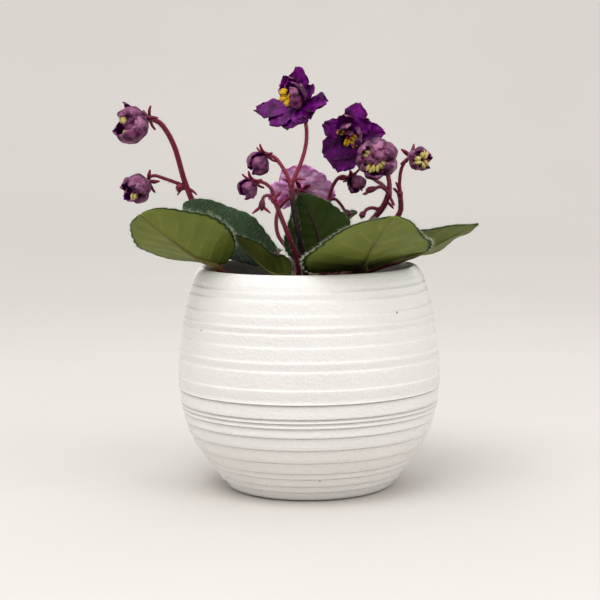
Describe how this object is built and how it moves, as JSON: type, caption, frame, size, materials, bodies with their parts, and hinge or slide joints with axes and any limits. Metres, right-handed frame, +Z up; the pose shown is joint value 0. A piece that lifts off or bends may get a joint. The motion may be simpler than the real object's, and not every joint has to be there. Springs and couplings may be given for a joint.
{
  "type": "potted african violet",
  "caption": "Miniature potted African violet: ribbed round white pot, scalloped hairy leaves, dark purple double flowers on crimson stalks.",
  "frame": {"origin": "centre of the pot's flat underside, on the surface that it stands on", "axes": "+Z up, -Y towards the side that the picture shows, +X to the viewer's right"},
  "size_m": [0.1252, 0.1045, 0.1452],
  "materials": {
    "pot_plastic": "white moulded plastic with a fine matte grain",
    "soil": "moist potting mix of peat and wood fibre",
    "crown": "short fleshy stem, greenish brown and hairy",
    "leaf": "fleshy leaf, dark green above, olive below, softly hairy",
    "stalk": "juicy crimson stem with fine white hairs",
    "petal_purple": "dark purple petal with a velvety sheen, mauve outside",
    "petal_pink": "pink-lilac petal with a magenta centre",
    "anther": "matte yellow anther"
  },
  "bodies": {
    "root": {"pot": "pot_plastic", "soil": "soil", "crown": "crown", "leaf_left": "leaf", "leaf_left_back": "leaf", "leaf_left_inner": "leaf", "leaf_centre": "leaf", "leaf_front": "leaf", "leaf_right": "leaf", "leaf_back_right": "leaf", "leaf_back": "leaf", "leaf_back_left": "leaf", "leaf_young_right": "leaf", "leaf_young_left": "leaf", "stalk_left": "stalk", "stalk_top": "stalk", "stalk_centre": "stalk", "stalk_pink": "stalk", "stalk_middle": "stalk", "stalk_right": "stalk", "stalk_far_right": "stalk", "bloom_top": "petal_purple", "bloom_right_back": "petal_purple", "bloom_right_front": "petal_purple", "bloom_left_upper": "petal_purple", "bloom_left_lower": "petal_purple", "bud_centre_upper": "petal_purple", "bud_centre_lower": "petal_purple", "bud_middle": "petal_purple", "bud_far_right": "petal_purple", "bloom_pink": "petal_pink", "stamens_top": "anther", "stamens_right_back": "anther", "stamens_right_front": "anther", "stamens_left_upper": "anther", "stamens_left_lower": "anther", "stamens_pink": "anther", "stamens_far_right": "anther"}
  },
  "joints": []
}
